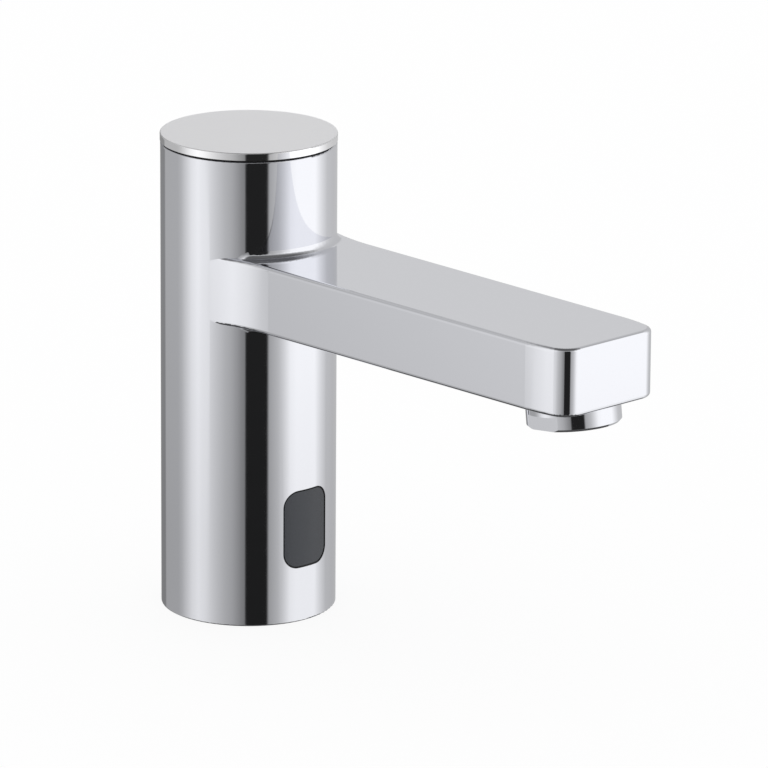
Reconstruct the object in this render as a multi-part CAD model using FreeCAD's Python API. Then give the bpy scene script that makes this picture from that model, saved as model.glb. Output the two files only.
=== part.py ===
"""Touch-free basin tap: cast column and spout, sensor, solenoid valve, battery and aerator.

Millimetres. The origin is the centre of the face that stands on the basin, +Z is up and the
spout points along -Y. The column is as slim as its battery lets it be, and its height follows
from what is stacked inside it, so the outside is worked out from the inside.
"""
import FreeCAD, Part
import math
import os
from FreeCAD import Vector

os.makedirs("parts", exist_ok=True)

# ---------------------------------------------------------------- driving dimensions
# battery and its holder
battery_width = 35.0
battery_depth = 19.5
battery_height = 36.0
battery_corner = 2.0
battery_set_back = 0.5
holder_wall = 1.0
holder_floor = 1.5
holder_play = 0.2
holder_depth = 30.0
holder_ear = 1.5
holder_ear_margin = 1.3
lug_width = 6.0
lug_height = 4.0
contact_height = 1.0
contact_width = 4.0
contact_length = 12.0
contact_end = 1.0
contact_crest = 2.0
contact_strip = 0.3
contact_slot = 0.8
contact_tail = 3.0

# column
column_wall = 3.0
column_play = 0.88
column_edge = 0.4
foot_edge = 0.5
rim_lip = 2.0
rim_lip_width = 1.6
rim_step = 2.0
base_ring_cord = 2.4
base_ring_inset = 2.5

# top cap
cap_thickness = 2.1
cap_overhang = 0.12
cap_edge = 0.35
cap_gap = 0.6
cap_gasket_inset = 1.0
cap_spigot_height = 6.4
cap_spigot_wall = 3.0
cap_battery_gap = 0.4
cap_pad_proud = 0.1
cap_screw_drop = 3.6
cap_screw_recess = 0.2
cap_screw_socket = 1.5
cap_screw_socket_depth = 1.0

# spout
head_height = 27.6
spout_height_root = 19.6
spout_height_tip = 19.2
spout_tip_rise = 0.55
spout_width_root = 39.0
spout_width_tip = 37.4
spout_reach = 130.6
spout_nose_margin = 2.1
spout_wall = 3.0
spout_corner = 5.8
nose_sweep = 50.0
nose_inset = 1.03
spout_edge = 1.2
root_flare = 60.0
root_graze = 0.01
root_fillet = 2.0
root_margin = 3.0

# aerator
aerator_thread_radius = 12.0
aerator_collar_lip = 1.0
aerator_collar_height = 8.4
aerator_seat_depth = 1.3
aerator_seat_play = 0.3
aerator_tilt = 7.0
aerator_flat_cut = 1.3
aerator_flat_height = 4.0
aerator_chamfer = 0.7
aerator_thread_pitch = 1.0
aerator_turns = 5.0
aerator_thread_runout = 0.8
aerator_wall = 1.8
aerator_ledge = 0.8
aerator_ledge_height = 1.0
aerator_washer_height = 1.6
insert_wall = 1.2
insert_floor = 3.0
jet_radius = 1.15
jet_pitch = 3.0
screen_drop = 1.5
screen_rise = 2.2
screen_mesh = 0.4
screen_rim = 1.2
screen_rim_height = 0.5
chamber_shoulder = 1.4
chamber_height = 6.0

# sensor
window_width = 16.1
window_height = 23.0
window_corner = 4.7
window_frame = 0.5
window_recess = 0.2
frame_recess = 0.45
window_pad_play = 0.7
window_flange = 1.2
pane_thickness = 3.5
pane_wall = 1.5
flange_margin = 1.4
gasket_flange = 0.6
module_gap = 2.5
module_depth = 9.2
module_wall = 1.2
module_margin = 1.5
module_side = 1.45
board_thickness = 1.2
eye_radius = 1.5
eye_length = 4.6
eye_spacing = 13.0
eye_rim = 0.4
eye_rim_height = 0.8
led_radius = 0.9
led_x = 5.4
led_rise = 4.3
ear_height = 5.5
ear_thickness = 2.0
ear_screw_gap = 5.0
ear_post_gap = 0.3

# screws: tapped radius, clearance radius and head of the three sizes used
m3_tap = 1.25
m3_clear = 1.6
m3_head = 2.75
m3_head_height = 1.8
m3_grip = 6.0
m25_tap = 1.0
m25_clear = 1.3
m25_head = 2.1
m25_grip = 4.5
m2_tap = 0.8
m2_clear = 1.0
m2_head = 1.5
m2_grip = 3.0
small_head_height = 1.4
socket_floor_share = 0.4
boss_radius = 3.5

# base plug and ports
port_radius = 4.5
port_depth = 8.5
port_floor = 1.0
stud_radius = 3.4
stud_depth = 9.0
stud_set_forward = 12.0
spanner_hole_radius = 1.5
spanner_hole_x = 15.4
spanner_hole_depth = 3.0

# inlet barrel, strainer and check valve
barrel_radius = 7.0
barrel_bore = 5.6
barrel_wall_gap = 2.5
spigot_radius = 5.5
spigot_bore = 3.0
spigot_length = 2.5
adaptor_flange = 3.0
adaptor_plug = 5.0
adaptor_spigot = 7.0
adaptor_bore = 3.4
ring_cord = 1.1
ring_groove_play = 0.1
strainer_shelf = 2.0
strainer_height = 6.5
strainer_radius = 4.4
strainer_wall = 0.5
strainer_flange = 1.0
strainer_slot = 1.2
strainer_gap = 0.5
seat_plate = 2.0
seat_hole = 3.2
cartridge_wall = 0.7
guide_height = 2.0
guide_wall = 0.9
guide_arm = 1.2
poppet_radius = 4.0
poppet_height = 1.4
poppet_stem = 0.85
poppet_stem_drop = 0.2
poppet_lift = 2.0
check_spring_closed = 4.6
check_spring_gap = 1.0
check_spring_wire = 0.35

# valve
valve_gap = 4.5
valve_play = 0.4
valve_foot = 4.0
valve_foot_wall = 2.0
valve_flange = 6.0
passage_offset = 2.3
passage_wall = 0.3
outlet_level = 4.5
outlet_passage = 2.6
cable_hole = 1.8
valve_drum = 7.0
valve_post_x = 15.6
valve_post_height = 8.0
chamber_outer = 9.2
chamber_depth = 5.0
outlet_bore = 3.0
seat_wall = 1.2
membrane_thickness = 1.2
membrane_seat = 1.4
hub_play = 0.2
hub_length = 4.0
plate_play = 1.7
plate_thickness = 1.2
nozzle_height = 0.8
nozzle_radius = 1.5
pilot_radius = 0.5
cover_roof = 1.8
cover_screw_wall = 1.5
diaphragm_lift = 1.0
plunger_lift = 1.2
plunger_radius = 4.1
plunger_length = 13.6
plunger_seal_radius = 1.7
plunger_seal_height = 2.5
spring_pocket = 6.0
spring_radius = 2.05
spring_wire = 0.4
spring_play = 0.3
spring_turns = 5
plunger_play = 0.08
tube_wall = 0.82
tube_flange_lip = 1.5
tube_flange_height = 1.2
coil_height = 16.0
coil_flange_radius = 10.2
coil_flange = 1.2
bobbin_wall = 1.0
winding_inset = 0.6
yoke_side_gap = 0.4
yoke_plate = 1.5
yoke_width = 12.0
nut_height = 3.5
nut_flats = 8.0
core_stud = 2.5
core_stud_proud = 1.5

# outlet tube
outlet_radius = 4.0
outlet_wall = 1.0
outlet_wall_gap = 2.5
outlet_bend = 10.0
outlet_socket = 6.7
outlet_end_gap = 0.5
socket_wall = 2.0
valve_ring_drop = 2.0
spout_ring_inset = 3.0

# control board and leads
stack_gap = 2.5
circuit_thickness = 1.6
circuit_width = 20.0
circuit_height = 24.0
circuit_gap = 3.1
circuit_tongue = 1.2
tongue_inset = 4.0
chip_size = 7.0
chip_height = 1.2
chip_level = 6.0
capacitor_radius = 1.2
capacitor_level = 3.0
lead_plug_depth = 2.5
lead_plug_width = 3.6
lead_plug_height = 3.0
lead_plug_inset = 2.5
sensor_plug_level = 7.0
valve_plug_drop = 7.0
sensor_cable = 1.0
sensor_cable_rise = 9.0
sensor_cable_drop = 5.0
valve_cable = 0.8
valve_cable_x = 3.4
valve_cable_stub = 4.0

# clearances
running = 0.06
fit = 0.05
touch = 0.02
bore_play = 0.2
head_play = 0.1

# ---------------------------------------------------------------- derived sizes
holder_half_width = battery_width / 2 + holder_play + holder_wall
holder_half_depth = battery_depth / 2 + holder_play + holder_wall
holder_corner = battery_corner + holder_play
bore_radius = holder_corner + column_play + math.hypot(
    holder_half_width - holder_corner, holder_half_depth + battery_set_back - holder_corner)
column_radius = bore_radius + column_wall

# radii of the valve and its coil, from the inside outwards
seat_radius = outlet_bore + seat_wall
hub_radius = outlet_bore - hub_play
plate_radius = chamber_outer - plate_play
membrane_radius = chamber_outer + membrane_seat
cover_screw_circle = chamber_outer + cover_screw_wall + m25_clear
valve_drum_radius = cover_screw_circle + m25_head + head_play
tube_bore = plunger_radius + plunger_play
tube_outer = tube_bore + tube_wall
tube_flange = tube_outer + tube_flange_lip
yoke_half = coil_flange_radius + yoke_side_gap + yoke_plate
circuit_offset = yoke_half + circuit_gap

# levels, from the foot upwards
plug_top = port_depth + port_floor + spigot_length
rim_height = plug_top - rim_lip
strainer_bottom = plug_top + strainer_shelf
check_bottom = strainer_bottom + strainer_height + strainer_gap
check_seat = check_bottom + seat_plate
check_guide = check_seat + poppet_height + poppet_lift + check_spring_closed
check_top = check_guide + guide_height
module_bottom = plug_top + module_gap
window_z = module_bottom + module_margin + window_height / 2
module_top = module_bottom + window_height + 2 * module_margin
inlet_top = check_top + adaptor_plug + adaptor_flange + valve_foot
valve_bottom = max(module_top + valve_gap, inlet_top)
flange_top = valve_bottom + valve_flange
seat_z = flange_top + valve_drum
cover_bottom = seat_z + membrane_thickness
cover_ceiling = cover_bottom + plate_thickness + nozzle_height + diaphragm_lift
cover_top = cover_ceiling + cover_roof
nozzle_top = cover_bottom + plate_thickness + nozzle_height
plunger_bottom = nozzle_top + plunger_seal_height / 3
plunger_top = plunger_bottom + plunger_length
core_bottom = plunger_top + plunger_lift + fit
coil_bottom = cover_top + yoke_plate
coil_top = coil_bottom + coil_height
yoke_top = coil_top + yoke_plate
stud_top = yoke_top + nut_height + core_stud_proud
holder_bottom = stud_top + stack_gap
battery_bottom = holder_bottom + holder_floor + contact_height
battery_top = battery_bottom + battery_height
lug_top = holder_bottom + holder_floor + holder_depth
spigot_bottom = battery_top + cap_battery_gap
column_height = spigot_bottom + cap_spigot_height
cap_bottom = column_height + cap_gap
cap_top = cap_bottom + cap_thickness
cap_radius = column_radius + cap_overhang
cap_spigot_radius = bore_radius - bore_play
cap_screw_z = column_height - cap_screw_drop

# radii of the aerator, from its thread
aerator_collar_radius = aerator_thread_radius + aerator_collar_lip
aerator_flat_distance = aerator_collar_radius - aerator_flat_cut
aerator_bore = aerator_thread_radius - aerator_wall
chamber_radius = aerator_thread_radius - chamber_shoulder
spout_nose = aerator_collar_radius + spout_nose_margin

# spout, which leaves the column below the head
spout_top = column_height - head_height
spout_bottom = spout_top - spout_height_root
spout_front = spout_reach + spout_nose
tip_top = spout_top + spout_tip_rise
tip_bottom = tip_top - spout_height_tip
hollow_top = spout_top - spout_wall
hollow_bottom = tip_bottom + spout_wall
hollow_half = spout_width_tip / 2 - spout_wall
aerator_thread_length = aerator_thread_pitch * aerator_turns + aerator_thread_runout
aerator_stack = aerator_seat_depth + aerator_thread_length + aerator_washer_height
aerator_lean = aerator_stack * math.sin(math.radians(aerator_tilt))
hollow_end = spout_reach - aerator_thread_radius - aerator_lean - outlet_socket
water_z = (hollow_top + hollow_bottom) / 2
spout_slope = (tip_bottom - spout_bottom) / (spout_front - column_radius)
underside_at_aerator = spout_bottom + spout_slope * (spout_reach - column_radius)
spout_back = bore_radius / 3
spout_ring_y = -hollow_end - spout_ring_inset

# aerator, which hangs from the underside of the spout
collar_top = underside_at_aerator + aerator_seat_depth
collar_bottom = collar_top - aerator_collar_height
thread_top = collar_top + aerator_thread_length
washer_seat = thread_top + aerator_washer_height
insert_bottom = collar_bottom + aerator_ledge_height
insert_radius = aerator_bore - fit
screen_base = thread_top - screen_drop

# places inside the bore
barrel_y = bore_radius - barrel_wall_gap - barrel_radius
outlet_y = -(bore_radius - outlet_wall_gap - outlet_radius)
passage_y = barrel_y - passage_offset
valve_y = passage_y - (seat_radius + chamber_outer) / 2
post_circle = bore_radius - m3_head - head_play
valve_post_y = math.sqrt(post_circle ** 2 - valve_post_x ** 2)
lug_screw_x = bore_radius - m2_head - bore_play
pad_half = window_width / 2 + flange_margin + window_pad_play
window_face = -math.sqrt(bore_radius ** 2 - pad_half ** 2)
pane_back = window_face + gasket_flange + window_flange
module_back = pane_back + module_depth
module_half = window_width / 2 + module_side
ear_screw_x = module_half + ear_screw_gap
ear_screw_y = -math.sqrt(post_circle ** 2 - ear_screw_x ** 2)
sensor_board_front = module_back - module_wall - board_thickness

# stack over the inlet port
ring_groove = ring_cord + ring_groove_play
barrel_top = valve_bottom - adaptor_flange - valve_foot
adaptor_top = barrel_top + adaptor_flange
tube_ring_z = seat_z - valve_ring_drop

# control board and the ends of the leads
board_bottom = holder_bottom - circuit_height
sensor_plug_z = board_bottom + sensor_plug_level
valve_plug_z = holder_bottom - valve_plug_drop
plug_x = circuit_offset - lead_plug_depth / 2
plug_y = lead_plug_inset - circuit_width / 2
cable_x = outlet_radius + socket_wall + 2 * sensor_cable
cable_y = (window_face + module_back) / 2


# ---------------------------------------------------------------- shared shapes
# A tool that cuts a hole runs 1 mm past the face that it opens.
def rod(radius, z0, z1, x=0.0, y=0.0):
    """Upright cylinder between two levels."""
    return Part.makeCylinder(radius, z1 - z0, Vector(x, y, z0))


def ring(outer, inner, z0, z1, x=0.0, y=0.0):
    """Upright tube between two levels."""
    return rod(outer, z0, z1, x, y).cut(rod(inner, z0 - 1, z1 + 1, x, y))


def block(x0, x1, y0, y1, z0, z1):
    """Box given by its lowest and highest corners."""
    return Part.makeBox(x1 - x0, y1 - y0, z1 - z0, Vector(x0, y0, z0))


def rod_y(radius, y0, y1, x, z):
    """Cylinder along Y."""
    return Part.makeCylinder(radius, y1 - y0, Vector(x, y0, z), Vector(0, 1, 0))


def o_ring(mean, cord, z, x=0.0, y=0.0):
    """Rubber ring lying flat."""
    return Part.makeTorus(mean, cord / 2, Vector(x, y, z))


def rounded_panel(width, height, corner, y0, y1, z):
    """Upright panel with round corners, centred on the column's front."""
    panel = block(-width / 2, width / 2, y0, y1, z - height / 2, z + height / 2)
    uprights = [e for e in panel.Edges if e.BoundBox.YLength > (y1 - y0) / 2]
    return panel.makeFillet(corner, uprights)


def upright_block(half_x, y0, y1, z0, z1, corner):
    """Box centred on X with its four upright edges rounded."""
    body = block(-half_x, half_x, y0, y1, z0, z1)
    uprights = [e for e in body.Edges if e.BoundBox.ZLength > (z1 - z0) / 2]
    return body.makeFillet(corner, uprights)


def screw(x, y, seat, length, shank, head, head_height):
    """Upright screw with a round head and a hexagon socket, its thread drawn at the tapped size."""
    body = rod(shank - touch, seat - length, seat, x, y)
    body = body.fuse(rod(head, seat, seat + head_height, x, y))
    return body.cut(hexagon(head, seat + head_height * socket_floor_share, seat + head_height + 1, x, y))


def hexagon(across, z0, z1, x=0.0, y=0.0):
    """Upright hexagonal prism, measured across its flats."""
    radius = across / math.sqrt(3)
    corners = [Vector(x + radius * math.cos(math.pi * k / 3), y + radius * math.sin(math.pi * k / 3), z0)
               for k in range(7)]
    return Part.Face(Part.makePolygon(corners)).extrude(Vector(0, 0, z1 - z0))


def arc_through(start, joint, end, anchor, heading):
    """Arc from start to end, where anchor is the one of them at which it runs along heading."""
    chord = joint - anchor
    inward = (chord - heading * chord.dot(heading)).normalize()
    radius = chord.dot(chord) / (2 * chord.dot(inward))
    centre = anchor + inward * radius
    outward = ((start + end) * 0.5 - centre).normalize()
    return Part.Arc(start, centre + outward * radius, end).toShape()


def coil_spring(mean, wire, z0, z1, turns, x=0.0, y=0.0):
    """Round-wire compression spring between two levels, each quarter turn drawn as two tangent arcs."""
    pitch = (z1 - z0 - wire) / turns

    def point(quarter):
        angle = math.pi * quarter / 2
        return Vector(x + mean * math.cos(angle), y + mean * math.sin(angle),
                      z0 + wire / 2 + pitch * quarter / 4)

    def heading(quarter):
        angle = math.pi * quarter / 2
        return Vector(-mean * math.sin(angle), mean * math.cos(angle), pitch / (2 * math.pi)).normalize()

    path = []
    for quarter in range(4 * turns):
        start, end = point(quarter), point(quarter + 1)
        first, last = heading(quarter), heading(quarter + 1)
        span = end - start
        a = 2 * (1 - first.dot(last))
        b = 2 * span.dot(first + last)
        reach = (math.sqrt(b * b + 4 * a * span.dot(span)) - b) / (2 * a)
        joint = (start + first * reach + end - last * reach) * 0.5
        path.append(arc_through(start, joint, joint, start, first))
        path.append(arc_through(joint, joint, end, end, last))
    section = Part.Wire(Part.makeCircle(wire / 2, point(0), heading(0)))
    return Part.Wire(path).makePipeShell([section], True, False)


def lead(points, radius):
    """Round cable along straight runs joined by tangent arcs, each as large as its runs allow."""
    path = []
    start = points[0]
    for before, here, after in zip(points, points[1:], points[2:]):
        back = (before - here).normalize()
        onward = (after - here).normalize()
        half_turn = (math.pi - back.getAngle(onward)) / 2
        cut_back = 0.45 * min((before - here).Length, (after - here).Length)
        bend = cut_back / math.tan(half_turn)
        first = here + back * cut_back
        last = here + onward * cut_back
        inward = (back + onward).normalize()
        centre = here + inward * (bend / math.cos(half_turn))
        middle = centre - inward * bend
        path.append(Part.LineSegment(start, first).toShape())
        path.append(Part.Arc(first, middle, last).toShape())
        start = last
        print("lead bend radius", round(bend, 2))
    path.append(Part.LineSegment(start, points[-1]).toShape())
    direction = points[1] - points[0]
    section = Part.Wire(Part.makeCircle(radius, points[0], direction))
    return Part.Wire(path).makePipeShell([section], True, False)


def group(solids):
    """Separate solids of one node."""
    return Part.Compound(solids)


def save(name, shape):
    """Write one node."""
    shape.exportStep(f"parts/{name}.step")


# ---------------------------------------------------------------- cast body
def tilted(shape):
    """Leans a piece of the aerator forward about the middle of its seat."""
    shape.rotate(Vector(0, -spout_reach, underside_at_aerator), Vector(1, 0, 0), -aerator_tilt)
    return shape


def spout_half_width(y):
    """Half the spout's width at a distance from the column's axis."""
    share = (y - column_radius) / (spout_front - column_radius)
    return (spout_width_root + (spout_width_tip - spout_width_root) * share) / 2


def nose_corner(side):
    """One corner of the nose in plan: the side bends in slowly, then turns round to the front."""
    taper = math.atan((spout_width_root - spout_width_tip) / 2 / (spout_front - column_radius))
    bend = math.acos(math.cos(taper) - nose_inset / nose_sweep)
    turn_y = -spout_front + spout_corner * (1 - math.sin(bend))
    bend_y = turn_y + nose_sweep * (math.sin(bend) - math.sin(taper))
    bend_x = spout_half_width(-bend_y)
    turn_x = bend_x - nose_inset

    def arc(x, y, radius, first, last):
        points = []
        for angle in (first, (first + last) / 2, last):
            points.append(Vector(side * (x - radius * (math.cos(first) - math.cos(angle))),
                                 y - radius * (math.sin(angle) - math.sin(first)), 0))
        return Part.Arc(*points).toShape(), points

    sweep, on_sweep = arc(bend_x, bend_y, nose_sweep, taper, bend)
    corner, on_corner = arc(turn_x, turn_y, spout_corner, bend, math.pi / 2)
    return [sweep, corner], on_sweep[0], on_corner[-1]


def root_plan():
    """Plan of a short straight block inside the spout, which carries the fillets over and under it."""
    half = min(spout_width_root, spout_width_tip) / 2
    front = (column_radius + spout_front) / 2
    corners = [Vector(-half, -spout_back, 0), Vector(half, -spout_back, 0),
               Vector(half, -front, 0), Vector(-half, -front, 0)]
    return Part.Face(Part.makePolygon(corners + [corners[0]]))


def swept_plan():
    """Plan outline of the spout, with sides that sweep out until they graze the column."""
    taper = math.atan((spout_width_root - spout_width_tip) / 2 / (spout_front - column_radius))
    outward = Vector(math.cos(taper), -math.sin(taper), 0)
    along = Vector(-math.sin(taper), -math.cos(taper), 0)
    start = Vector(spout_half_width(0), 0, 0) + outward * root_flare
    lean = start.dot(along)
    reach = column_radius + root_flare - root_graze
    centre = start + along * (math.sqrt(lean ** 2 - start.dot(start) + reach ** 2) - lean)
    inward = centre / centre.Length
    halfway = outward + inward
    near = centre - outward * root_flare
    middle = centre - halfway * (root_flare / halfway.Length)
    end = centre - inward * root_flare
    edges = []
    fronts = []
    for side in (-1, 1):
        corner, bend, front = nose_corner(side)
        edges += corner
        fronts.append(front)
        edges.append(Part.makeLine(bend, Vector(side * near.x, near.y, 0)))
        edges.append(Part.Arc(Vector(side * near.x, near.y, 0), Vector(side * middle.x, middle.y, 0),
                              Vector(side * end.x, end.y, 0)).toShape())
        edges.append(Part.makeLine(Vector(side * end.x, end.y, 0), Vector(side * spout_back, -spout_back, 0)))
    edges.append(Part.makeLine(Vector(-spout_back, -spout_back, 0), Vector(spout_back, -spout_back, 0)))
    edges.append(Part.makeLine(*fronts))
    return Part.Face(Part.Wire(Part.__sortEdges__(edges)))


def spout_solid(plan):
    """Solid spout on its plan, with softly rounded long edges."""
    prism = plan.extrude(Vector(0, 0, column_height))
    reach = spout_front + 1
    top_slope = spout_tip_rise / (spout_front - column_radius)

    def level(base, slope, y):
        return base + slope * (y - column_radius)

    corners = [Vector(-column_radius, 0, level(spout_bottom, spout_slope, 0)),
               Vector(-column_radius, -reach, level(spout_bottom, spout_slope, reach)),
               Vector(-column_radius, -reach, level(spout_top, top_slope, reach)),
               Vector(-column_radius, 0, level(spout_top, top_slope, 0))]
    side = Part.Face(Part.makePolygon(corners + [corners[0]]))
    spout = prism.common(side.extrude(Vector(2 * column_radius, 0, 0)))
    long_edges = [e for e in spout.Edges
                  if e.BoundBox.ZLength < spout_height_tip / 4
                  and math.hypot(e.CenterOfMass.x, e.CenterOfMass.y) > column_radius]
    return spout.makeFillet(spout_edge, long_edges)


def on_column(edge):
    """True for an edge that lies on the column's outside beside the spout."""
    box = edge.BoundBox
    if box.ZMin < spout_bottom - root_margin or box.ZMax > spout_top + root_margin:
        return False
    return all(abs(math.hypot(p.x, p.y) - column_radius) < 0.01 for p in edge.discretize(7))


def cast_outside():
    """Column and spout in one casting: filleted over and under the root, with the swept spout laid over it."""
    column = rod(column_radius, 0, column_height)
    top = [e for e in column.Edges if e.BoundBox.ZMin > column_height - 0.1]
    column = column.makeFillet(column_edge, top)
    foot = [e for e in column.Edges if e.BoundBox.ZMax < 0.1]
    column = column.makeFillet(foot_edge, foot)
    casting = column.fuse(spout_solid(root_plan())).removeSplitter()
    root = [e for e in casting.Edges if on_column(e)]
    casting = casting.makeFillet(root_fillet, root)
    return casting.fuse(spout_solid(swept_plan())).removeSplitter()


def inner_posts():
    """Posts and lugs cast on the wall of the bore, tapped for the screws they take."""
    posts = []
    inner = holder_half_width + holder_play
    for side in (-1, 1):
        posts.append(rod(boss_radius, plug_top + ear_post_gap, module_bottom + ear_height,
                         side * ear_screw_x, ear_screw_y))
        posts.append(rod(boss_radius, valve_bottom - valve_post_height, valve_bottom,
                         side * valve_post_x, valve_post_y))
        posts.append(block(min(side * inner, side * column_radius), max(side * inner, side * column_radius),
                           -lug_width / 2, lug_width / 2, lug_top - lug_height, lug_top))
    pad = block(-column_radius, column_radius, -column_radius, window_face,
                module_bottom - module_gap / 2, module_top + module_gap / 2)
    posts.append(pad)
    inside = rod(bore_radius + column_wall / 2, 0, column_height)
    return [p.common(inside) for p in posts]


def tap_body():
    """The casting with its bore, spout hollow, window, aerator socket and tapped holes."""
    body = cast_outside()
    body = body.cut(rod(bore_radius, rim_height, column_height + 1))
    body = body.cut(rod(bore_radius - rim_step, -1, rim_height - rim_lip))
    body = body.cut(rod(bore_radius - rim_step - rim_lip_width, -1, rim_height + 1))
    body = body.fuse(inner_posts())
    groove = column_radius - base_ring_inset
    half = base_ring_cord / 2 + fit
    body = body.cut(ring(groove + half, groove - half, -1, base_ring_cord))
    body = body.cut(block(-hollow_half, hollow_half, -hollow_end, -bore_radius * 0.8,
                          hollow_bottom, hollow_top))
    body = body.cut(rod_y(outlet_radius + fit, -spout_reach, -hollow_end + 1, 0, water_z))
    body = body.cut(rod_y(outlet_radius + ring_cord + fit, spout_ring_y - ring_groove / 2,
                          spout_ring_y + ring_groove / 2, 0, water_z))
    body = body.cut(tilted(rod(aerator_collar_radius + aerator_seat_play, collar_bottom,
                               collar_top + aerator_seat_play, 0, -spout_reach)))
    body = body.cut(tilted(rod(aerator_thread_radius, spout_bottom - 1, washer_seat, 0, -spout_reach)))
    body = body.cut(tilted(rod(chamber_radius, spout_bottom, washer_seat + chamber_height,
                               0, -spout_reach)))
    body = body.cut(rounded_panel(window_width, window_height, window_corner,
                                  -column_radius - 1, window_face + 1, window_z))
    ear_top = module_bottom + ear_height
    for side in (-1, 1):
        body = body.cut(rod(m3_tap, plug_top, ear_top + 1, side * ear_screw_x, ear_screw_y))
        body = body.cut(rod(m3_tap, valve_bottom - valve_post_height - 1, valve_bottom + 1,
                            side * valve_post_x, valve_post_y))
        body = body.cut(rod(m2_tap, lug_top - lug_height - 1, lug_top + 1, side * lug_screw_x, 0))
    body = body.cut(rod_y(m3_tap, bore_radius - 1, column_radius + 1, 0, cap_screw_z))
    return body.removeSplitter()


# ---------------------------------------------------------------- cap and its pieces
def top_cap():
    """Flat lid: satin disc with a rounded rim and a spigot that drops into the bore."""
    disc = rod(cap_radius, cap_bottom, cap_top)
    rims = [e for e in disc.Edges if e.Length > cap_radius and e.BoundBox.ZMin > cap_bottom + 0.1
            and e.BoundBox.ZLength < 0.01]
    disc = disc.makeFillet(cap_edge, rims)
    spigot = ring(cap_spigot_radius, cap_spigot_radius - cap_spigot_wall, spigot_bottom, cap_bottom)
    return disc.fuse(spigot)


def cap_pad():
    """Foam disc glued under the lid, which keeps the battery down."""
    return rod(cap_spigot_radius - cap_spigot_wall - fit, spigot_bottom - cap_pad_proud, cap_bottom)


def cap_gasket():
    """Black ring between the column's top and the lid."""
    return ring(column_radius - cap_gasket_inset, bore_radius + fit, column_height, cap_bottom)


def cap_screw():
    """Socket set screw behind, which bears on the lid's spigot."""
    outer_end = column_radius - cap_screw_recess
    body = rod_y(m3_tap - touch, cap_spigot_radius + fit, outer_end, 0, cap_screw_z)
    socket = hexagon(cap_screw_socket, 0, cap_screw_socket_depth + 1)
    socket.rotate(Vector(0, 0, 0), Vector(1, 0, 0), -90)
    socket.translate(Vector(0, outer_end - cap_screw_socket_depth, cap_screw_z))
    return body.cut(socket)


# ---------------------------------------------------------------- base
def base_plug():
    """Threaded brass plug with the inlet port, the stud hole and two spanner holes."""
    plug = rod(bore_radius - rim_step - fit, 0, rim_height - rim_lip)
    plug = plug.fuse(rod(bore_radius - rim_step - rim_lip_width - fit, 0, plug_top))
    plug = plug.cut(rod(port_radius, -1, port_depth, 0, barrel_y))
    plug = plug.cut(rod(spigot_bore, 0, plug_top + 1, 0, barrel_y))
    plug = plug.cut(rod(spigot_radius + fit, plug_top - spigot_length - fit, plug_top + 1, 0, barrel_y))
    plug = plug.cut(rod(stud_radius, -1, stud_depth, 0, -stud_set_forward))
    for side in (-1, 1):
        plug = plug.cut(rod(spanner_hole_radius, -1, spanner_hole_depth, side * spanner_hole_x, 0))
    return plug


def base_o_ring():
    """Rubber ring in the foot, level with it once the tap is drawn down."""
    return o_ring(column_radius - base_ring_inset, base_ring_cord, base_ring_cord / 2)


# ---------------------------------------------------------------- sensor
def window_gasket():
    """Black rubber frame between the opening and the pane, with a flange behind the wall."""
    face = rod(column_radius - frame_recess, 0, column_height)
    sleeve = rounded_panel(window_width - 2 * touch, window_height - 2 * touch, window_corner,
                           -column_radius, window_face, window_z)
    sleeve = sleeve.common(face)
    flange = rounded_panel(window_width + 2 * flange_margin, window_height + 2 * flange_margin,
                           window_corner + flange_margin, window_face, window_face + gasket_flange, window_z)
    hole = rounded_panel(window_width - 2 * window_frame, window_height - 2 * window_frame,
                         window_corner - window_frame, -column_radius - 1, window_face + 2, window_z)
    return sleeve.fuse(flange).cut(hole)


def sensor_window():
    """Dark pane that follows the column, held by a flange behind the gasket."""
    face = rod(column_radius - window_recess, 0, column_height)
    rim = window_frame + touch
    pane = rounded_panel(window_width - 2 * rim, window_height - 2 * rim, window_corner - rim,
                         -column_radius, pane_back - window_flange / 2, window_z)
    pane = pane.common(face)
    flange = rounded_panel(window_width + 2 * flange_margin, window_height + 2 * flange_margin,
                           window_corner + flange_margin, pane_back - window_flange, pane_back, window_z)
    thin = window_frame + pane_wall
    pocket = rounded_panel(window_width - 2 * thin, window_height - 2 * thin, window_corner - thin,
                           pane_thickness - column_radius, pane_back + 1, window_z)
    return pane.fuse(flange).cut(pocket)


def sensor_housing():
    """Black box behind the pane: open to it, split by a baffle, with two ears for its screws."""
    box = block(-module_half, module_half, pane_back, module_back, module_bottom, module_top)
    inner = module_half - module_wall
    box = box.cut(block(-inner, inner, pane_back - 1, module_back - module_wall,
                        module_bottom + module_wall, module_top - module_wall))
    baffle = block(-inner, inner, pane_back, sensor_board_front - fit,
                   window_z - module_wall / 2, window_z + module_wall / 2)
    ear_z = module_bottom + ear_height
    reach = bore_radius - bore_play
    ears = block(-reach, reach, ear_screw_y - boss_radius, ear_screw_y + boss_radius,
                 ear_z, ear_z + ear_thickness)
    ears = ears.common(rod(reach, 0, column_height))
    ears = ears.cut(block(-module_half, module_half, -reach, reach, 0, column_height))
    housing = box.fuse([baffle, ears])
    for side in (-1, 1):
        housing = housing.cut(rod(m3_clear, ear_z - 1, ear_z + ear_thickness + 1, side * ear_screw_x,
                                  ear_screw_y))
    return housing


def sensor_board():
    """Circuit board against the back of the sensor housing."""
    half = module_half - module_wall - fit
    return block(-half, half, sensor_board_front, module_back - module_wall,
                 module_bottom + module_wall + fit, module_top - module_wall - fit)


def eye(radius, x, z):
    """Round-nosed component that looks out of the window."""
    nose = sensor_board_front - eye_length
    barrel = rod_y(radius, nose + radius, sensor_board_front, x, z)
    base = rod_y(radius + eye_rim, sensor_board_front - eye_rim_height, sensor_board_front, x, z)
    return barrel.fuse([base, Part.makeSphere(radius, Vector(x, nose + radius, z))])


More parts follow.
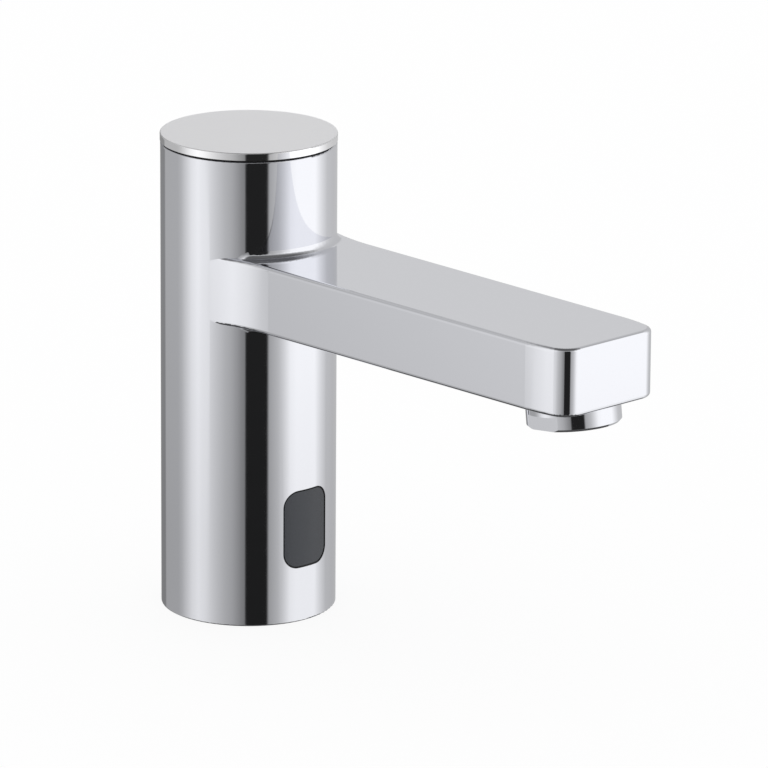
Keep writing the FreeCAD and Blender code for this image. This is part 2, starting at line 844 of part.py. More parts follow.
def sensor_screws():
    """Two screws that hold the sensor housing's ears on their posts."""
    seat = module_bottom + ear_height + ear_thickness
    return group([screw(side * ear_screw_x, ear_screw_y, seat, ear_thickness + m3_grip, m3_tap,
                        m3_head, m3_head_height) for side in (-1, 1)])


# ---------------------------------------------------------------- inlet
def inlet_barrel():
    """Brass barrel over the inlet port, bored for the strainer and the check valve."""
    barrel = rod(barrel_radius, plug_top, barrel_top, 0, barrel_y)
    barrel = barrel.fuse(rod(spigot_radius, plug_top - spigot_length, plug_top, 0, barrel_y))
    barrel = barrel.cut(rod(barrel_bore, strainer_bottom, barrel_top + 1, 0, barrel_y))
    barrel = barrel.cut(rod(spigot_bore, 0, barrel_top, 0, barrel_y))
    groove = plug_top - spigot_length / 2
    return barrel.cut(ring(spigot_radius + 1, spigot_radius - ring_cord, groove - ring_groove / 2,
                           groove + ring_groove / 2, 0, barrel_y))


def barrel_adaptor():
    """Brass adaptor screwed into the barrel, with a spigot up into the valve."""
    adaptor = rod(barrel_radius, barrel_top, adaptor_top, 0, barrel_y)
    adaptor = adaptor.fuse(rod(barrel_bore - fit, check_top, barrel_top, 0, barrel_y))
    spigot_end = adaptor_top + adaptor_spigot - fit
    adaptor = adaptor.fuse(rod(spigot_radius, barrel_top, spigot_end, 0, barrel_y))
    adaptor = adaptor.cut(rod(adaptor_bore, 0, column_height, 0, barrel_y))
    groove = adaptor_top + adaptor_spigot / 2
    return adaptor.cut(ring(spigot_radius + 1, spigot_radius - ring_cord, groove - ring_groove / 2,
                            groove + ring_groove / 2, 0, barrel_y))


def spigot_o_rings():
    """The two rubber rings on the barrel's and the adaptor's spigots."""
    mean = spigot_radius + touch - ring_cord / 2
    levels = (plug_top - spigot_length / 2, adaptor_top + adaptor_spigot / 2)
    return group([o_ring(mean, ring_cord, z, 0, barrel_y) for z in levels])


def inlet_strainer():
    """Thimble-shaped filter that stands on the barrel's shoulder."""
    top = strainer_bottom + strainer_height
    thimble = rod(strainer_radius, strainer_bottom, top, 0, barrel_y)
    flange_top_z = strainer_bottom + strainer_flange
    thimble = thimble.fuse(rod(barrel_bore - fit, strainer_bottom, flange_top_z, 0, barrel_y))
    thimble = thimble.cut(rod(strainer_radius - strainer_wall, strainer_bottom - 1, top - strainer_wall,
                              0, barrel_y))
    slots = []
    for k in range(6):
        slot = block(0, strainer_radius + 1, -strainer_slot / 2, strainer_slot / 2,
                     flange_top_z + strainer_wall, top - 2 * strainer_wall)
        slot.rotate(Vector(0, 0, 0), Vector(0, 0, 1), 60 * k)
        slot.translate(Vector(0, barrel_y, 0))
        slots.append(slot)
    return thimble.cut(slots)


def check_valve_body():
    """Cartridge with a seat below and a three-armed guide above."""
    outer = barrel_bore - fit
    body = rod(outer, check_bottom, check_top, 0, barrel_y)
    body = body.cut(rod(outer - cartridge_wall, check_seat, check_top + 1, 0, barrel_y))
    body = body.cut(rod(seat_hole, check_bottom - 1, check_seat + 1, 0, barrel_y))
    guide = rod(poppet_stem + guide_wall, check_guide, check_top, 0, barrel_y)
    arms = []
    for k in range(3):
        arm = block(0, outer - cartridge_wall / 2, -guide_arm / 2, guide_arm / 2, check_guide, check_top)
        arm.rotate(Vector(0, 0, 0), Vector(0, 0, 1), 120 * k + 30)
        arm.translate(Vector(0, barrel_y, 0))
        arms.append(arm)
    body = body.fuse([guide] + arms)
    return body.cut(rod(poppet_stem + running, check_guide - 1, check_top + 1, 0, barrel_y))


def check_valve_poppet():
    """Poppet that rests on the seat and lifts when water flows."""
    disc = rod(poppet_radius, check_seat, check_seat + poppet_height, 0, barrel_y)
    return disc.fuse(rod(poppet_stem, check_seat, check_top - poppet_stem_drop, 0, barrel_y))


def check_valve_spring():
    """Light spring between the poppet and its guide."""
    return coil_spring(poppet_stem + check_spring_gap, check_spring_wire, check_seat + poppet_height + touch,
                       check_guide - touch, spring_turns, 0, barrel_y)


# ---------------------------------------------------------------- solenoid valve
def cover_screw_places():
    """The four screw places on the valve's cover."""
    arm = cover_screw_circle / math.sqrt(2)
    return [(sx * arm, valve_y + sy * arm) for sx in (-1, 1) for sy in (-1, 1)]


def valve_body():
    """Moulded valve body: inlet chamber round a raised seat, outlet forward to the tube's socket."""
    plate = rod(bore_radius - valve_play, valve_bottom, flange_top)
    flats = holder_half_width
    plate = plate.common(block(-flats, flats, -column_radius, column_radius, 0, column_height))
    drum = rod(valve_drum_radius, valve_bottom, seat_z, 0, valve_y)
    socket = rod(outlet_radius + socket_wall, valve_bottom, seat_z, 0, outlet_y)
    bridge = block(-outlet_radius, outlet_radius, outlet_y, valve_y, valve_bottom, seat_z)
    foot = rod(spigot_radius + valve_foot_wall, adaptor_top, valve_bottom, 0, barrel_y)
    inside = rod(bore_radius - valve_play, 0, column_height)
    body = plate.fuse([drum, socket, bridge, foot]).common(inside)
    chamber = ring(chamber_outer, seat_radius, seat_z - chamber_depth, seat_z + 1, 0, valve_y)
    passage_radius = (chamber_outer - seat_radius) / 2 - passage_wall
    socket_top = adaptor_top + adaptor_spigot
    outlet_z = valve_bottom + outlet_level
    cuts = [
        chamber,
        rod(passage_radius, socket_top - 1, seat_z - chamber_depth + 1, 0, passage_y),
        rod(spigot_radius + fit, adaptor_top - 1, socket_top, 0, barrel_y),
        rod(outlet_bore, outlet_z, seat_z + 1, 0, valve_y),
        rod_y(outlet_passage, outlet_y, valve_y, 0, outlet_z),
        rod(outlet_radius + fit, seat_z - outlet_socket, seat_z + 1, 0, outlet_y),
        rod(outlet_radius - outlet_wall, outlet_z, seat_z, 0, outlet_y),
        rod(outlet_radius + ring_cord + fit, tube_ring_z - ring_groove / 2, tube_ring_z + ring_groove / 2,
            0, outlet_y),
        rod(cable_hole, valve_bottom - 1, flange_top + 1, cable_x, cable_y),
    ]
    for side in (-1, 1):
        cuts.append(rod(m3_clear, valve_bottom - 1, flange_top + 1, side * valve_post_x, valve_post_y))
    for x, y in cover_screw_places():
        cuts.append(rod(m25_tap, seat_z - m25_grip - head_play, seat_z + 1, x, y))
    return body.cut(cuts)


def valve_mount_screws():
    """Two screws that hold the valve body on its posts."""
    return group([screw(side * valve_post_x, valve_post_y, flange_top, valve_flange + m3_grip, m3_tap,
                        m3_head, m3_head_height) for side in (-1, 1)])


def diaphragm_membrane():
    """Rubber disc clamped under the cover, which closes on the seat."""
    return ring(membrane_radius, outlet_bore, seat_z, cover_bottom, 0, valve_y)


def diaphragm_plate():
    """Plastic centre of the diaphragm: guide below, washer above and the pilot nozzle."""
    plate = rod(hub_radius, seat_z - hub_length, cover_bottom, 0, valve_y)
    plate = plate.fuse(rod(plate_radius, cover_bottom, cover_bottom + plate_thickness, 0, valve_y))
    plate = plate.fuse(rod(nozzle_radius, cover_bottom, nozzle_top, 0, valve_y))
    return plate.cut(rod(pilot_radius, seat_z - hub_length - 1, nozzle_top + 1, 0, valve_y))


def valve_cover():
    """Cover that clamps the membrane and holds the armature tube's flange."""
    cover = rod(valve_drum_radius, cover_bottom, cover_top, 0, valve_y)
    cuts = [rod(chamber_outer, cover_bottom - 1, cover_ceiling, 0, valve_y),
            rod(tube_flange + fit, cover_ceiling - 1, cover_ceiling + tube_flange_height, 0, valve_y),
            rod(tube_outer + fit, cover_ceiling, cover_top + 1, 0, valve_y)]
    cuts += [rod(m25_clear, cover_bottom - 1, cover_top + 1, x, y) for x, y in cover_screw_places()]
    land = ring(valve_drum_radius, membrane_radius + fit, seat_z, cover_bottom, 0, valve_y)
    cuts_in_land = [rod(m25_clear, seat_z - 1, cover_bottom + 1, x, y) for x, y in cover_screw_places()]
    return cover.cut(cuts).fuse(land.cut(cuts_in_land))


def cover_screws():
    """Four screws that clamp the cover on the valve body."""
    return group([screw(x, y, cover_top, cover_top - seat_z + m25_grip, m25_tap, m25_head,
                        small_head_height) for x, y in cover_screw_places()])


def armature_tube():
    """Thin stainless tube that guides the plunger."""
    tube = rod(tube_outer, cover_ceiling, yoke_top, 0, valve_y)
    tube = tube.fuse(rod(tube_flange, cover_ceiling, cover_ceiling + tube_flange_height, 0, valve_y))
    return tube.cut(rod(tube_bore, cover_ceiling - 1, yoke_top + 1, 0, valve_y))


def fixed_core():
    """Steel core that closes the tube's top and ends in a stud."""
    core = rod(tube_bore - touch, core_bottom, yoke_top, 0, valve_y)
    return core.fuse(rod(core_stud, yoke_top, stud_top, 0, valve_y))


def plunger():
    """Steel plunger with pockets for its spring above and its seal below."""
    body = rod(plunger_radius, plunger_bottom, plunger_top, 0, valve_y)
    body = body.cut(rod(spring_radius + spring_wire + spring_play, plunger_top - spring_pocket,
                        plunger_top + 1, 0, valve_y))
    seal_top = nozzle_top + plunger_seal_height
    return body.cut(rod(plunger_seal_radius, plunger_bottom - 1, seal_top, 0, valve_y))


def plunger_seal():
    """Rubber button that closes the pilot nozzle."""
    return rod(plunger_seal_radius, nozzle_top, nozzle_top + plunger_seal_height, 0, valve_y)


def plunger_spring():
    """Spring between the plunger's pocket and the fixed core."""
    return coil_spring(spring_radius, spring_wire, plunger_top - spring_pocket + touch,
                       core_bottom - touch, spring_turns, 0, valve_y)


def coil_bobbin():
    """Plastic spool of the solenoid."""
    spool = rod(coil_flange_radius, coil_bottom, coil_top, 0, valve_y)
    spool = spool.cut(ring(coil_flange_radius + 1, tube_outer + bobbin_wall, coil_bottom + coil_flange,
                           coil_top - coil_flange, 0, valve_y))
    return spool.cut(rod(tube_outer + fit, coil_bottom - 1, coil_top + 1, 0, valve_y))


def coil_winding():
    """Copper winding as one body."""
    return ring(coil_flange_radius - winding_inset, tube_outer + bobbin_wall, coil_bottom + coil_flange,
                coil_top - coil_flange, 0, valve_y)


def coil_yoke():
    """Steel frame round the coil."""
    side = yoke_width / 2
    frame = block(-yoke_half, yoke_half, valve_y - side, valve_y + side, cover_top, yoke_top)
    inner = yoke_half - yoke_plate
    frame = frame.cut(block(-inner, inner, -column_radius, column_radius, coil_bottom, coil_top))
    return frame.cut(rod(tube_outer + fit, cover_top - 1, yoke_top + 1, 0, valve_y))


def coil_nut():
    """Nut that holds the coil on the core's stud."""
    nut = hexagon(nut_flats, yoke_top, yoke_top + nut_height, 0, valve_y)
    return nut.cut(rod(core_stud + touch, yoke_top - 1, stud_top, 0, valve_y))


# ---------------------------------------------------------------- outlet tube
def outlet_tube():
    """Plastic tube from the valve up the front of the bore and along the spout."""
    foot = Vector(0, outlet_y, seat_z - outlet_socket)
    bend_start = Vector(0, outlet_y, water_z - outlet_bend)
    share = outlet_bend * (1 - math.sqrt(0.5))
    bend_middle = Vector(0, outlet_y - share, water_z - share)
    bend_end = Vector(0, outlet_y - outlet_bend, water_z)
    end = Vector(0, -hollow_end - outlet_socket + outlet_end_gap, water_z)
    path = Part.Wire([Part.LineSegment(foot, bend_start).toShape(),
                      Part.Arc(bend_start, bend_middle, bend_end).toShape(),
                      Part.LineSegment(bend_end, end).toShape()])

    def sweep(radius):
        return path.makePipeShell([Part.Wire(Part.makeCircle(radius, foot, Vector(0, 0, 1)))], True, False)

    return sweep(outlet_radius).cut(sweep(outlet_radius - outlet_wall))


def tube_o_rings():
    """Rubber rings round the two ends of the outlet tube."""
    mean = outlet_radius + touch + ring_cord / 2
    low = o_ring(mean, ring_cord, tube_ring_z, 0, outlet_y)
    far = Part.makeTorus(mean, ring_cord / 2, Vector(0, spout_ring_y, water_z), Vector(0, 1, 0))
    return group([low, far])


# ---------------------------------------------------------------- battery and electronics
def battery_holder():
    """Tray that hangs on two lugs, with a tongue below for the control board."""
    y0 = battery_set_back - holder_half_depth
    y1 = battery_set_back + holder_half_depth
    top = lug_top + holder_ear
    tray = upright_block(holder_half_width, y0, y1, holder_bottom, top, holder_corner)
    inner = holder_half_width - holder_wall
    tray = tray.cut(upright_block(inner, y0 + holder_wall, y1 - holder_wall,
                                  holder_bottom + holder_floor, top + 1, battery_corner))
    ear_end = lug_screw_x + holder_ear_margin
    ears = block(-ear_end, ear_end, -lug_width / 2, lug_width / 2, lug_top, top)
    ears = ears.cut(block(-inner, inner, -lug_width, lug_width, 0, column_height))
    ears = ears.common(rod(bore_radius - bore_play, 0, column_height))
    back = circuit_offset + circuit_thickness
    tongue_half = circuit_width / 2 - tongue_inset
    tongue = block(back, back + circuit_tongue, -tongue_half, tongue_half,
                   board_bottom + tongue_inset, holder_bottom)
    tray = tray.fuse([ears, tongue])
    for side in (-1, 1):
        tray = tray.cut(rod(m2_clear, lug_top - 1, top + 1, side * lug_screw_x, 0))
    for y in contact_places():
        tray = tray.cut(block(circuit_offset - contact_slot, circuit_offset + fit,
                              y - contact_width / 2 - fit, y + contact_width / 2 + fit,
                              holder_bottom - 1, holder_bottom + holder_floor + 1))
    return tray


def contact_places():
    """Y of the two contact strips under the battery."""
    return (battery_set_back - battery_depth / 4, battery_set_back + battery_depth / 4)


def battery_contacts():
    """Two bowed strips under the battery, each with a tail down to the board."""
    floor = holder_bottom + holder_floor
    crest = floor + contact_height - contact_strip
    right = circuit_offset
    left = right - contact_length
    middle = (left + right) / 2
    lift = Vector(0, 0, contact_strip)
    strips = []
    for y in contact_places():
        near = y - contact_width / 2
        flat = block(left, right, near, y + contact_width / 2, floor, floor + contact_strip)
        corners = [Vector(left + contact_end, near, floor), Vector(middle - contact_crest / 2, near, crest),
                   Vector(middle + contact_crest / 2, near, crest), Vector(right - contact_end, near, floor)]
        outline = corners + [c + lift for c in reversed(corners)] + [corners[0]]
        bow = Part.Face(Part.makePolygon(outline)).extrude(Vector(0, contact_width, 0))
        tail = block(right - contact_strip, right, near, y + contact_width / 2,
                     holder_bottom - contact_tail, floor)
        strips.append(flat.fuse([bow, tail]))
    return group(strips)


def battery():
    """Flat lithium pack."""
    return upright_block(battery_width / 2, battery_set_back - battery_depth / 2,
                         battery_set_back + battery_depth / 2, battery_bottom, battery_top, battery_corner)


def holder_screws():
    """Two small screws through the tray's ears."""
    return group([screw(side * lug_screw_x, 0, lug_top + holder_ear, holder_ear + m2_grip, m2_tap, m2_head,
                        small_head_height) for side in (-1, 1)])


def control_board():
    """Board with its controller, capacitor and two plugs, fixed to the tray's tongue."""
    board = block(circuit_offset, circuit_offset + circuit_thickness, -circuit_width / 2, circuit_width / 2,
                  board_bottom, holder_bottom)
    board = board.common(rod(bore_radius - bore_play, 0, column_height))
    face = circuit_offset
    chip_bottom = board_bottom + chip_level
    chip = block(face - chip_height, face, 0, chip_size, chip_bottom, chip_bottom + chip_size)
    capacitor = rod_y(capacitor_radius, 0, chip_size, face + 2 * fit - capacitor_radius,
                      board_bottom + capacitor_level)
    half = lead_plug_width / 2
    plugs = [block(face - lead_plug_depth, face, plug_y - half, plug_y + half, z, z + lead_plug_height)
             for z in (sensor_plug_z, valve_plug_z)]
    return board.fuse([chip, capacitor] + plugs)


def sensor_lead():
    """Cable from the sensor housing up past the valve to the control board."""
    return lead([Vector(cable_x, cable_y, module_top),
                 Vector(cable_x, cable_y, flange_top + sensor_cable_rise),
                 Vector(plug_x, plug_y, sensor_plug_z - sensor_cable_drop),
                 Vector(plug_x, plug_y, sensor_plug_z)], sensor_cable)


def valve_lead():
    """Cable from the coil to the control board."""
    nearest_x = valve_cable_x - valve_cable
    surface = valve_y - math.sqrt((coil_flange_radius - winding_inset) ** 2 - nearest_x ** 2)
    start_z = (coil_bottom + coil_top) / 2
    return lead([Vector(valve_cable_x, surface, start_z),
                 Vector(valve_cable_x, surface - valve_cable_stub, start_z),
                 Vector(plug_x, plug_y, valve_plug_z - valve_cable_stub),
                 Vector(plug_x, plug_y, valve_plug_z)], valve_cable)


# ---------------------------------------------------------------- aerator
def aerator_housing():
    """Chromed ring screwed up into the spout, with two spanner flats on its collar."""
    collar = rod(aerator_collar_radius, collar_bottom, collar_top, 0, -spout_reach)
    low_rim = [e for e in collar.Edges if e.BoundBox.ZMax < collar_bottom + 0.1]
    collar = collar.makeChamfer(aerator_chamfer, low_rim)
    flat_top = collar_bottom + aerator_flat_height
    for side in (-1, 1):
        near = side * aerator_flat_distance
        far = side * (aerator_collar_radius + 1)
        collar = collar.cut(block(min(near, far), max(near, far), -spout_reach - aerator_collar_radius,
                                  -spout_reach + aerator_collar_radius, collar_bottom - 1, flat_top))
    shank = rod(aerator_thread_radius - running, flat_top, thread_top, 0, -spout_reach)
    housing = collar.fuse(shank)
    housing = housing.cut(rod(aerator_bore, insert_bottom, thread_top + 1, 0, -spout_reach))
    return tilted(housing.cut(rod(aerator_bore - aerator_ledge, collar_bottom - 1, thread_top, 0, -spout_reach)))


def aerator_insert():
    """Jet former: a plastic cup whose floor is a grid of round holes."""
    floor = insert_bottom + insert_floor
    inner = insert_radius - insert_wall
    cup = rod(insert_radius, insert_bottom, screen_base, 0, -spout_reach)
    cup = cup.cut(rod(inner, floor, thread_top, 0, -spout_reach))
    jets = []
    count = int(inner // jet_pitch) + 1
    for i in range(-count, count + 1):
        for j in range(-count, count + 1):
            x = (i + 0.5 * (j % 2)) * jet_pitch
            y = j * jet_pitch * math.sqrt(3) / 2
            if math.hypot(x, y) + jet_radius < inner:
                jets.append(rod(jet_radius, insert_bottom - 1, floor + 1, x, y - spout_reach))
    return tilted(cup.cut(jets))


def aerator_screen():
    """Domed mesh screen on top of the jet former."""
    sphere_radius = (insert_radius ** 2 + screen_rise ** 2) / (2 * screen_rise)
    centre = Vector(0, -spout_reach, screen_base + screen_rise - sphere_radius)
    shell = Part.makeSphere(sphere_radius, centre)
    shell = shell.cut(Part.makeSphere(sphere_radius - screen_mesh, centre))
    shell = shell.common(rod(insert_radius - screen_rim / 2, screen_base, washer_seat, 0, -spout_reach))
    return tilted(shell.fuse(ring(insert_radius, insert_radius - screen_rim, screen_base,
                                  screen_base + screen_rim_height, 0, -spout_reach)))


def aerator_washer():
    """Rubber washer between the housing and the shoulder in the spout."""
    return tilted(ring(aerator_thread_radius - 4 * fit, aerator_bore - aerator_ledge, thread_top,
                       washer_seat, 0, -spout_reach))


# ---------------------------------------------------------------- write every node
NODES = {
    "tap_body": tap_body,
    "top_cap": top_cap,
    "cap_pad": cap_pad,
    "cap_gasket": cap_gasket,
    "cap_screw": cap_screw,
    "base_plug": base_plug,
    "base_o_ring": base_o_ring,
    "window_gasket": window_gasket,
    "sensor_window": sensor_window,
    "sensor_housing": sensor_housing,
    "sensor_board": sensor_board,
    "ir_emitter": lambda: eye(eye_radius, 0, window_z + eye_spacing / 2),
    "ir_receiver": lambda: eye(eye_radius, 0, window_z - eye_spacing / 2),
    "indicator_led": lambda: eye(led_radius, led_x, window_z + led_rise),
    "sensor_screws": sensor_screws,
    "inlet_barrel": inlet_barrel,
    "barrel_adaptor": barrel_adaptor,
    "spigot_o_rings": spigot_o_rings,
    "inlet_strainer": inlet_strainer,
    "check_valve_body": check_valve_body,
    "check_valve_poppet": check_valve_poppet,
    "check_valve_spring": check_valve_spring,
    "valve_body": valve_body,
    "valve_mount_screws": valve_mount_screws,
    "diaphragm_membrane": diaphragm_membrane,
    "diaphragm_plate": diaphragm_plate,
    "valve_cover": valve_cover,
    "cover_screws": cover_screws,
    "armature_tube": armature_tube,
    "fixed_core": fixed_core,
    "plunger": plunger,
    "plunger_seal": plunger_seal,
    "plunger_spring": plunger_spring,
    "coil_bobbin": coil_bobbin,
    "coil_winding": coil_winding,
    "coil_yoke": coil_yoke,
    "coil_nut": coil_nut,
    "outlet_tube": outlet_tube,
    "tube_o_rings": tube_o_rings,
    "battery_holder": battery_holder,
    "battery_contacts": battery_contacts,
    "battery": battery,
    "holder_screws": holder_screws,
    "control_board": control_board,
    "sensor_lead": sensor_lead,
    "valve_lead": valve_lead,
    "aerator_housing": aerator_housing,
    "aerator_insert": aerator_insert,
    "aerator_screen": aerator_screen,
    "aerator_washer": aerator_washer,
}

for node, make in NODES.items():
    save(node, make())
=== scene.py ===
"""Touch-free basin tap in polished chrome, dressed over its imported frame. Metres, origin at the foot."""
import math

import bpy
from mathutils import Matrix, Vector


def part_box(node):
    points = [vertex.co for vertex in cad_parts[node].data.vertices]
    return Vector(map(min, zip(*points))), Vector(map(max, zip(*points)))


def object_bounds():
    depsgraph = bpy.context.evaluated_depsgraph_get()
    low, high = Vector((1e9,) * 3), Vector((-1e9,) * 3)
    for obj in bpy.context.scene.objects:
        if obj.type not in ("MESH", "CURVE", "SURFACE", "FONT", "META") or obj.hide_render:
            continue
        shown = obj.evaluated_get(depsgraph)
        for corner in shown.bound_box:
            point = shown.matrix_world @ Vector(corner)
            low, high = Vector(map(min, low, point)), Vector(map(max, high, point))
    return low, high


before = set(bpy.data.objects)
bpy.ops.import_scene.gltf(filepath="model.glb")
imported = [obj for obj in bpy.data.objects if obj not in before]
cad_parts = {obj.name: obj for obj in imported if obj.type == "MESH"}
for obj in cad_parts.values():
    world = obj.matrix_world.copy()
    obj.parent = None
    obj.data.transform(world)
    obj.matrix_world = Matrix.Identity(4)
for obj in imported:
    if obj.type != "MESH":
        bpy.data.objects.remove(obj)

cad_low, cad_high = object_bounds()
MM = 0.001


# ---------------------------------------------------------------- camera
# A long lens just under two metres away, which looks down on the lid and along the spout's near
# side, from the front left of the tap.
camera_azimuth = math.radians(-43.206)
camera_pitch = math.radians(16.403)
camera_roll = math.radians(0.387)
camera_distance = 1911.6 * MM
camera_aim = Vector((28.07, -26.37, 64.66)) * MM
sensor_width = 36.0
frame_pixels = 768
focal_pixels = 6719.2

towards_camera = Vector((
    math.sin(camera_azimuth) * math.cos(camera_pitch),
    -math.cos(camera_azimuth) * math.cos(camera_pitch),
    math.sin(camera_pitch)))
camera_data = bpy.data.cameras.new("camera")
camera_data.sensor_width = sensor_width
camera_data.lens = focal_pixels / frame_pixels * sensor_width
camera = bpy.data.objects.new("camera", camera_data)
bpy.context.collection.objects.link(camera)
camera.location = camera_aim + towards_camera * camera_distance
camera.rotation_euler = (-towards_camera).to_track_quat("-Z", "Y").to_euler()
camera.rotation_euler.rotate_axis("Z", camera_roll)
bpy.context.scene.camera = camera
bpy.context.scene.view_settings.view_transform = "Standard"


# ---------------------------------------------------------------- studio
# A white room round a pale floor. Panels of cloth stand round the tap, out of the camera's sight:
# white to its left and right, grey between them, and a black flag beside the lens.
def linear(hex_colour):
    """Linear colour of an sRGB hex value."""
    parts = [int(hex_colour[i:i + 2], 16) / 255 for i in (1, 3, 5)]
    return [c / 12.92 if c <= 0.04045 else ((c + 0.055) / 1.055) ** 2.4 for c in parts] + [1.0]


def add_node(tree, kind, settings=None, links=None, values=None):
    """Adds a node with its settings, linked inputs and input values."""
    node = tree.nodes.new(kind)
    for name, value in (settings or {}).items():
        setattr(node, name, value)
    for name, value in (values or {}).items():
        node.inputs[name].default_value = value
    for name, socket in (links or {}).items():
        tree.links.new(socket, node.inputs[name])
    return node


def set_ramp(node, stops):
    """Gives a colour ramp its stops, as pairs of place and grey level or colour."""
    ramp = node.color_ramp
    while len(ramp.elements) > 1:
        ramp.elements.remove(ramp.elements[-1])
    for index, (place, colour) in enumerate(stops):
        stop = ramp.elements[0] if index == 0 else ramp.elements.new(place)
        stop.position = place
        stop.color = colour if isinstance(colour, list) else (colour, colour, colour, 1)


def empty_material(name):
    """Node material with nothing in it but its output."""
    material = bpy.data.materials.new(name)
    material.use_nodes = True
    tree = material.node_tree
    tree.nodes.clear()
    return material, tree, tree.nodes.new("ShaderNodeOutputMaterial")


tent_radius = 1400 * MM
tent_half_height = 1300 * MM
tent_sides = 128
# degrees to the right of the camera, seen from the tap, and how bright the cloth is there
tent_cloth = (
    (-180, 0.58), (-172, 0.58), (-166, 0.22), (-141, 0.22), (-137, 0.38), (-104, 0.395), (-97, 0.45),
    (-88, 0.60), (-78, 0.78), (-68, 0.87), (-58, 0.80), (-48, 0.66), (-40, 0.56), (-30, 0.46),
    (-20, 0.385), (-8, 0.24), (-4, 0.21), (-2.5, 0.014), (25, 0.014), (28, 0.36), (40, 0.50),
    (48, 0.68), (57, 0.92), (66, 0.98), (97, 0.98), (110, 0.74), (124, 0.54), (143, 0.49),
    (166, 0.48), (172, 0.58), (180, 0.58))
tent_glow = 1.18
# Reflections pass through the floor. The cloth under it darkens downwards between these heights.
tent_shaded = -420 * MM
tent_lit = -270 * MM
tent_shade = 0.87

bpy.ops.object.select_all(action="DESELECT")
bpy.ops.mesh.primitive_cylinder_add(vertices=tent_sides, radius=tent_radius, depth=2 * tent_half_height,
                                    end_fill_type="NOTHING")
tent = bpy.context.object
tent.name = "cloth_tent"
tent_material, tree, out = empty_material("tent_cloth")
place = add_node(tree, "ShaderNodeTexCoord")
turned = add_node(tree, "ShaderNodeMapping", {}, {"Vector": place.outputs["Object"]},
                  {"Rotation": (0, 0, math.pi / 2 - camera_azimuth)})
angle = add_node(tree, "ShaderNodeTexGradient", {"gradient_type": "RADIAL"},
                 {"Vector": turned.outputs[0]})
cloth = add_node(tree, "ShaderNodeValToRGB", {}, {"Fac": angle.outputs["Fac"]})
set_ramp(cloth, [((degrees + 180) / 360, level) for degrees, level in tent_cloth])
height = add_node(tree, "ShaderNodeSeparateXYZ", {}, {"Vector": place.outputs["Object"]})
fall = add_node(tree, "ShaderNodeMapRange", {}, {"Value": height.outputs["Z"]},
                {"From Min": tent_shaded, "From Max": tent_lit, "To Min": tent_shade * tent_glow,
                 "To Max": tent_glow})
glow = add_node(tree, "ShaderNodeEmission", {},
                {"Color": cloth.outputs["Color"], "Strength": fall.outputs["Result"]})
tree.links.new(glow.outputs[0], out.inputs["Surface"])
tent.data.materials.append(tent_material)
tent.visible_camera = False
tent.visible_diffuse = False
tent.visible_shadow = False

floor_half = 6000 * MM
floor_drop = 0.05 * MM
floor_colour = (0.96, 0.96, 0.965, 1)
floor_whiteness = 0.88  # share of plain white that the camera sees; the rest keeps the shadow
bpy.ops.object.select_all(action="DESELECT")
bpy.ops.mesh.primitive_plane_add(size=2 * floor_half, location=(0, 0, -floor_drop))
floor = bpy.context.object
floor.name = "pale_floor"
floor_material, tree, out = empty_material("pale_floor")
paint = add_node(tree, "ShaderNodeBsdfDiffuse", {}, {}, {"Color": floor_colour})
white = add_node(tree, "ShaderNodeEmission", {}, {}, {"Color": (1, 1, 1, 1), "Strength": 1.0})
rays = add_node(tree, "ShaderNodeLightPath")
sight = add_node(tree, "ShaderNodeMath", {"operation": "MULTIPLY"},
                 {0: rays.outputs["Is Camera Ray"]}, {1: floor_whiteness})
mixed = add_node(tree, "ShaderNodeMixShader", {},
                 {0: sight.outputs[0], 1: paint.outputs[0], 2: white.outputs[0]})
tree.links.new(mixed.outputs[0], out.inputs["Surface"])
floor.data.materials.append(floor_material)
floor.visible_glossy = False

# The room is white, but polished metal sees a dark ceiling over the tent and a dark floor under it.
ceiling_start = math.sin(math.radians(42))
ceiling_end = math.sin(math.radians(60))
below_start = math.sin(math.radians(-40))
upper_room = 0.55
ceiling_dark = 0.05
lower_room = 0.08
world = bpy.data.worlds.new("white_room")
bpy.context.scene.world = world
world.use_nodes = True
tree = world.node_tree
tree.nodes.clear()
out = add_node(tree, "ShaderNodeOutputWorld")
place = add_node(tree, "ShaderNodeTexCoord")
height = add_node(tree, "ShaderNodeSeparateXYZ", {}, {"Vector": place.outputs["Generated"]})
ceiling = add_node(tree, "ShaderNodeMapRange", {}, {"Value": height.outputs["Z"]},
                   {"From Min": ceiling_start, "From Max": ceiling_end, "To Min": upper_room,
                    "To Max": ceiling_dark})
above = add_node(tree, "ShaderNodeMath", {"operation": "GREATER_THAN"},
                 {0: height.outputs["Z"]}, {1: below_start})
room = add_node(tree, "ShaderNodeMath", {"operation": "MULTIPLY_ADD"},
                {0: ceiling.outputs["Result"], 1: above.outputs[0]}, {2: lower_room})
rays = add_node(tree, "ShaderNodeLightPath")
seen = add_node(tree, "ShaderNodeMix", {"data_type": "FLOAT"},
                {0: rays.outputs["Is Glossy Ray"], 3: room.outputs[0]}, {2: 1.0})
sky = add_node(tree, "ShaderNodeBackground", {}, {"Color": seen.outputs[0]}, {"Strength": 1.0})
tree.links.new(sky.outputs[0], out.inputs["Surface"])


# ---------------------------------------------------------------- tap body
# Cast in brass with its spout, ground, polished and chrome plated. The plate is a mirror, and the
# polishing wheel leaves it a trace uneven, which shows only where a reflection runs along an edge.
chrome_colour = "#E8E9EE"
polish_wave = 30 * MM
polish_depth = 0.006 * MM
wipe_mark = 7 * MM
least_roughness = 0.04
most_roughness = 0.08


